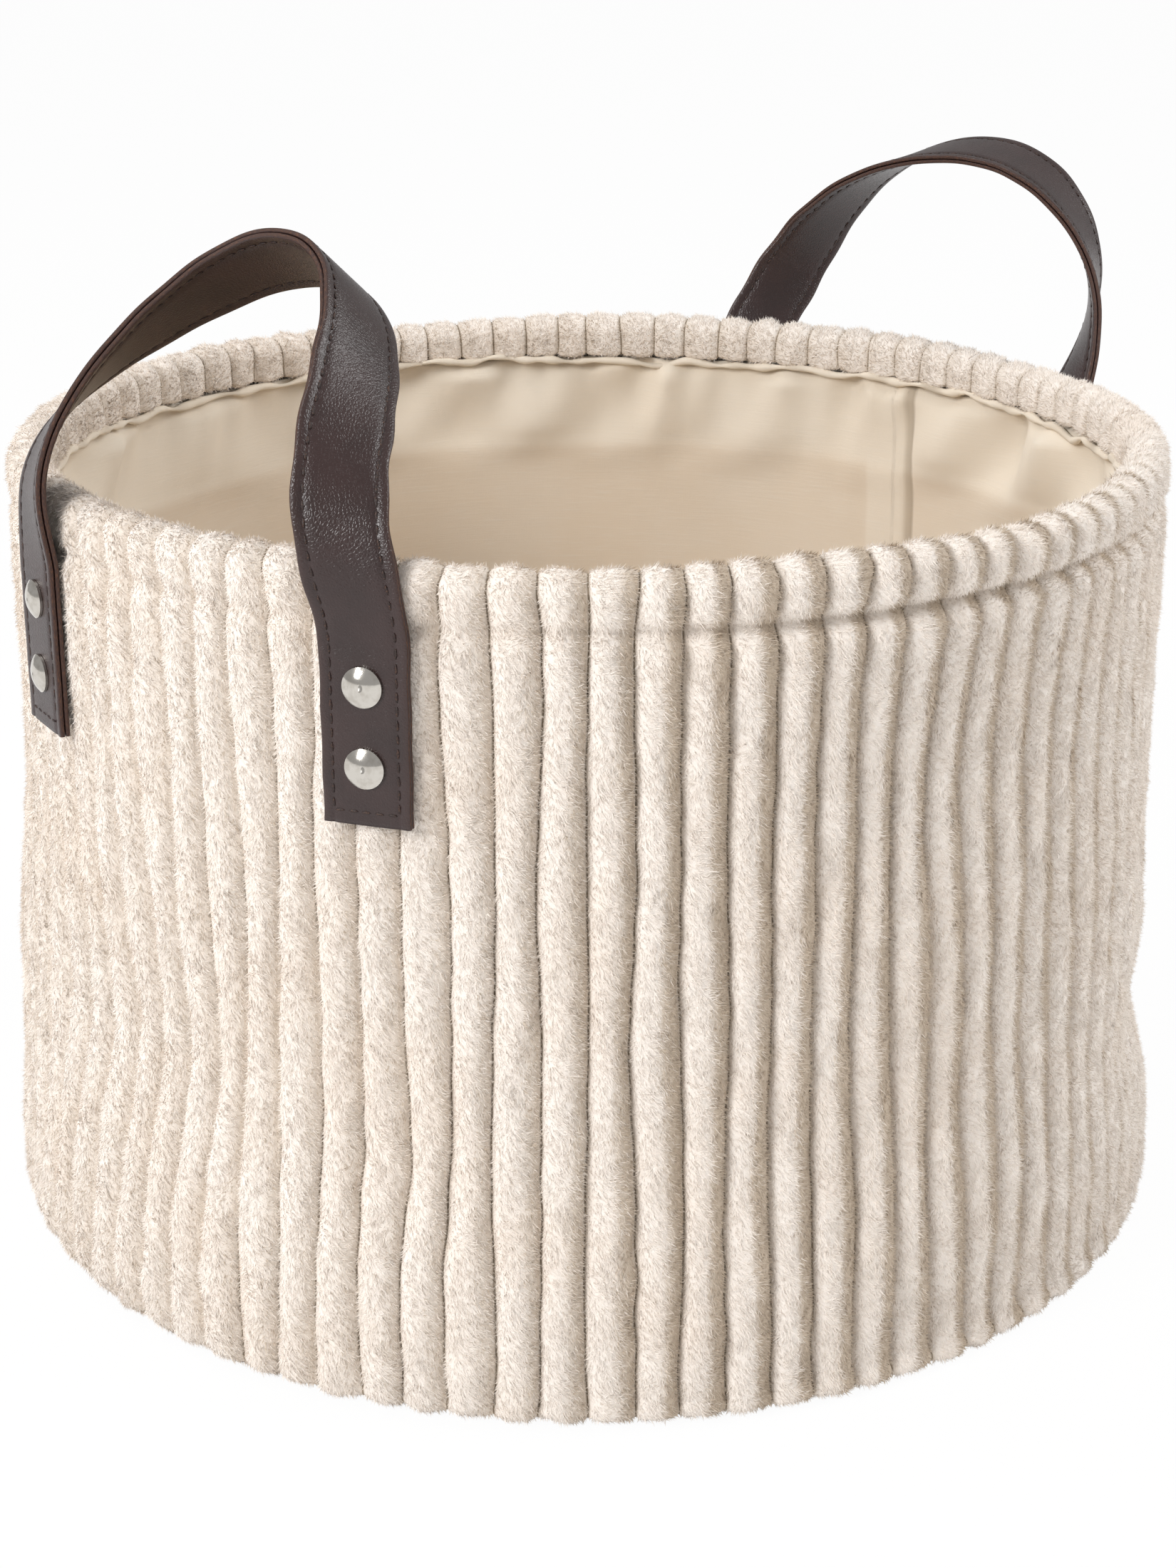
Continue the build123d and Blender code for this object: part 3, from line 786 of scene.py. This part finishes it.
for handleName, handle in handleSet.items():
    strapPath, strapRun = strapFrames(handle)
    makeStrap(handleName, strapPath, strapRun)
    makeStitches(handleName, strapPath, strapRun)
    print(handleName, "strap", round(strapRun[-1] / mm), "mm long")


# rivets: the CAD domes stay, in polished nickel
rivetSet = {"metal": srgb(212, 207, 199), "warm": srgb(196, 190, 181)}


def rivetWiring(w):
    haze = w.noise(w.objectPlace(), 500.0, 3.0)
    return {"Base Color": haze.step(0.4, 0.7).pick(rivetSet["metal"], rivetSet["warm"]),
            "Roughness": 0.1 + 0.08 * haze}


# the other CAD nodes that stay: steel hoop, ferrule and rivet backs, and the base board
wireSet = {"dull": srgb(150, 150, 152), "bright": srgb(190, 190, 190)}
boardSet = {"pulp": srgb(176, 150, 118), "fleck": srgb(134, 110, 82)}


def wireWiring(w):
    stretched = w.add("Mapping", {}, {"Vector": w.objectPlace(), "Scale": (60.0, 60.0, 3000.0)})
    drawn = w.noise(stretched, 1.0, 3.0)
    return {"Base Color": drawn.pick(wireSet["dull"], wireSet["bright"]), "Roughness": 0.3 + 0.25 * drawn,
            "Normal": w.bump(drawn, 0.00003, 0.4)}


def boardWiring(w):
    place = w.objectPlace()
    pulp, fleck = w.noise(place, 160.0, 4.0), w.noise(place, 1400.0, 2.0)
    mixed = pulp.step(0.35, 0.7) * 0.6 + fleck * 0.3
    return {"Base Color": mixed.pick(boardSet["pulp"], boardSet["fleck"]),
            "Roughness": 0.8 + 0.12 * fleck, "Normal": w.bump(fleck, 0.0002, 0.5)}


hoopFinish = makeFinish("hoopSteel", {"Metallic": 1.0}, wireWiring)
boardFinish = makeFinish("pressedBoard", {}, boardWiring)
rivetFinish = makeFinish("rivetNickel", {"Metallic": 1.0}, rivetWiring)
for nodeName, finish in (("rim_hoop", hoopFinish), ("hoop_ferrule", hoopFinish), ("rivet_backs", hoopFinish),
                         ("base_board", boardFinish), ("rivet_caps", rivetFinish)):
    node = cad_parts[nodeName]
    node.data.materials.clear()
    node.data.materials.append(finish)
print("CAD parts finished")


# floor, light and camera
stageSet = {"floor": srgb(250, 249, 248), "glow": 0.96, "world": 0.45, "camera": (-0.5084, -0.4419, 0.3505),
            "lens": 61.97, "pitch": 69.633, "turn": -49.0}
# name, bearing, height in degrees, distance, size, power
lamps = [("keyLeft", 174, 30, 1.7, 0.6, 17.5), ("fillRight", 312, 38, 1.7, 0.9, 13.5),
         ("topBack", 118, 58, 1.7, 0.9, 7.0)]


def makeFloor():
    bm = bmesh.new()
    bmesh.ops.create_grid(bm, x_segments=8, y_segments=8, size=12.0)
    material = bpy.data.materials.new("studioFloor")
    material.use_nodes = True
    tree = material.node_tree
    tree.nodes.clear()
    w = Wire(tree)
    seen, glossy, clear = (w.add("LightPath", out=i) for i in (0, 3, 6))  # camera, glossy, transmission rays
    share = (seen + glossy + clear).step(0.0, 1.0) * stageSet["glow"]
    paper = w.add("BsdfDiffuse", {}, {"Color": stageSet["floor"], "Roughness": 0.0})
    glow = w.add("Emission", {}, {"Color": (1.0, 1.0, 1.0, 1.0), "Strength": 1.0})
    both = w.add("MixShader", {}, {0: share, 1: paper, 2: glow})
    tree.links.new(both.socket, tree.nodes.new("ShaderNodeOutputMaterial").inputs["Surface"])
    newPiece("studioFloor", bm, [material], None)


def makeLamp(name, bearing, height, distance, size, power):  # a square lamp aimed at the middle of the bin
    lamp = bpy.data.lights.new(name, "AREA")
    lamp.shape, lamp.size, lamp.energy = "SQUARE", size, power
    holder = bpy.data.objects.new(name, lamp)
    turn, rise = radians(bearing), radians(height)
    aim = Vector((cos(turn) * cos(rise), sin(turn) * cos(rise), sin(rise)))
    holder.location = aim * distance + Vector((0, 0, 0.12))
    holder.rotation_euler = aim.to_track_quat("Z", "Y").to_euler()
    bpy.context.scene.collection.objects.link(holder)


def makeStage():
    makeFloor()
    world = bpy.data.worlds.new("studio")
    world.use_nodes = True
    sky = world.node_tree.nodes["Background"]
    sky.inputs["Color"].default_value = (1.0, 1.0, 1.0, 1.0)
    sky.inputs["Strength"].default_value = stageSet["world"]
    scene = bpy.context.scene
    scene.world = world
    for lamp in lamps:
        makeLamp(*lamp)
    scene.view_settings.view_transform = "Standard"
    lens = bpy.data.cameras.new("photoCamera")
    lens.lens, lens.sensor_width, lens.sensor_fit = stageSet["lens"], 36.0, "AUTO"
    lens.clip_start, lens.clip_end = 0.02, 60.0
    holder = bpy.data.objects.new("photoCamera", lens)
    holder.location = stageSet["camera"]
    holder.rotation_euler = (radians(stageSet["pitch"]), 0.0, radians(stageSet["turn"]))
    scene.collection.objects.link(holder)
    scene.camera = holder


makeStage()
print("scene ready")
